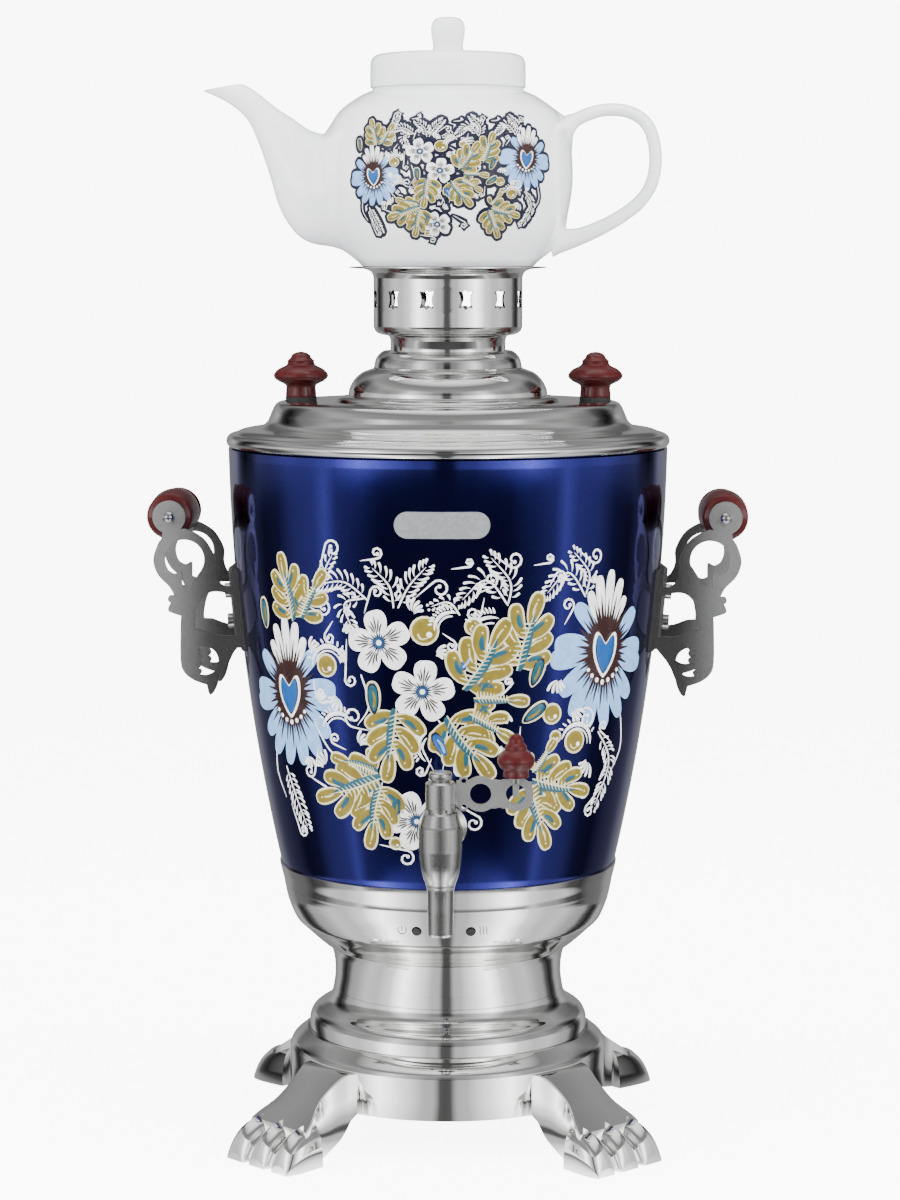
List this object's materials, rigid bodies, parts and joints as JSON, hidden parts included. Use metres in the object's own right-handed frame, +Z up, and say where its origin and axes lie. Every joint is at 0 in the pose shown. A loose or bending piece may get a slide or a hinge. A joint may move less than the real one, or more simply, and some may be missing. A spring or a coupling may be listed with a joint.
{
  "type": "electric samovar",
  "caption": "Electric samovar on four paw feet: tapered blue tank with a swivel tap, side grips, domed lid and a pierced crown that carries a porcelain teapot.",
  "frame": {"origin": "on the samovar's axis, at the level of the table it stands on", "axes": "+Z up, -Y to the front where the tap is, +X to the right seen from the front"},
  "size_m": [0.2856, 0.2411, 0.5302],
  "materials": {
    "polished_steel": "mirror-polished stainless steel",
    "brushed_steel": "satin brushed steel",
    "heater_steel": "matt stainless steel",
    "fastener_steel": "bright zinc-plated steel",
    "blue_enamel": "deep glossy blue metallic enamel with painted flowers",
    "turned_wood": "turned wood under glossy red-brown lacquer",
    "porcelain": "white glazed porcelain with painted flowers",
    "rubber": "black silicone rubber",
    "black_plastic": "matt black heat-resistant plastic",
    "ceramic": "unglazed steatite",
    "brass": "turned brass",
    "lamp_lens": "dark red clear plastic"
  },
  "bodies": {
    "samovar": {"foot_base": "polished_steel", "foot_pads": "rubber", "bottom_cover": "black_plastic", "cover_screws": "fastener_steel", "clamp_plate": "heater_steel", "tie_stud": "fastener_steel", "tie_nut": "fastener_steel", "pedestal_skirt": "polished_steel", "pedestal_neck": "polished_steel", "base_bowl": "polished_steel", "lower_band": "polished_steel", "tank_wall": "blue_enamel", "tank_floor": "heater_steel", "tank_rim": "polished_steel", "badge_plate": "brushed_steel", "heating_element": "heater_steel", "heater_seals": "rubber", "heater_nuts": "brass", "thermostat": "black_plastic", "dry_boil_cutout": "ceramic", "lamp_lenses": "lamp_lens", "lamp_holders": "black_plastic", "inlet_bezel": "black_plastic", "power_inlet": "black_plastic", "inlet_pins": "brass", "inlet_screws": "fastener_steel", "tap_body": "brushed_steel", "tap_spout": "brushed_steel", "tap_outer_seal": "rubber", "tap_inner_seal": "rubber", "tap_nut": "brass", "handle_bracket_left": "brushed_steel", "handle_bracket_right": "brushed_steel", "handle_saddle_left": "black_plastic", "handle_saddle_right": "black_plastic", "handle_grip_left": "turned_wood", "handle_grip_right": "turned_wood", "handle_rod_left": "fastener_steel", "handle_rod_right": "fastener_steel", "handle_screws": "fastener_steel", "handle_seals": "rubber", "handle_nuts": "fastener_steel"},
    "tap_valve": {"tap_plug": "brushed_steel", "tap_cap": "brushed_steel", "tap_lever": "brushed_steel", "tap_knob": "turned_wood", "tap_knob_pin": "fastener_steel"},
    "lid": {"lid_shell": "polished_steel", "lid_knob_left": "turned_wood", "lid_knob_right": "turned_wood", "lid_knob_washers": "rubber", "lid_knob_screws": "fastener_steel"},
    "crown": {"crown": "polished_steel"},
    "teapot": {"teapot": "porcelain"},
    "teapot_lid": {"teapot_lid": "porcelain"}
  },
  "joints": [
    {"name": "tap_turn", "type": "hinge", "parent": "samovar", "child": "tap_valve", "pos_m": [0, -0.126, 0.161], "axis": [0, 0, -1], "range_deg": [0, 90]},
    {"name": "lid_lift", "type": "slide", "parent": "samovar", "child": "lid", "axis": [0, 0, 1], "range_m": [0, 0.12]},
    {"name": "crown_lift", "type": "slide", "parent": "lid", "child": "crown", "axis": [0, 0, 1], "range_m": [0, 0.05]},
    {"name": "teapot_lift", "type": "slide", "parent": "crown", "child": "teapot", "axis": [0, 0, 1], "range_m": [0, 0.05]},
    {"name": "teapot_lid_lift", "type": "slide", "parent": "teapot", "child": "teapot_lid", "axis": [0, 0, 1], "range_m": [0, 0.05]}
  ]
}
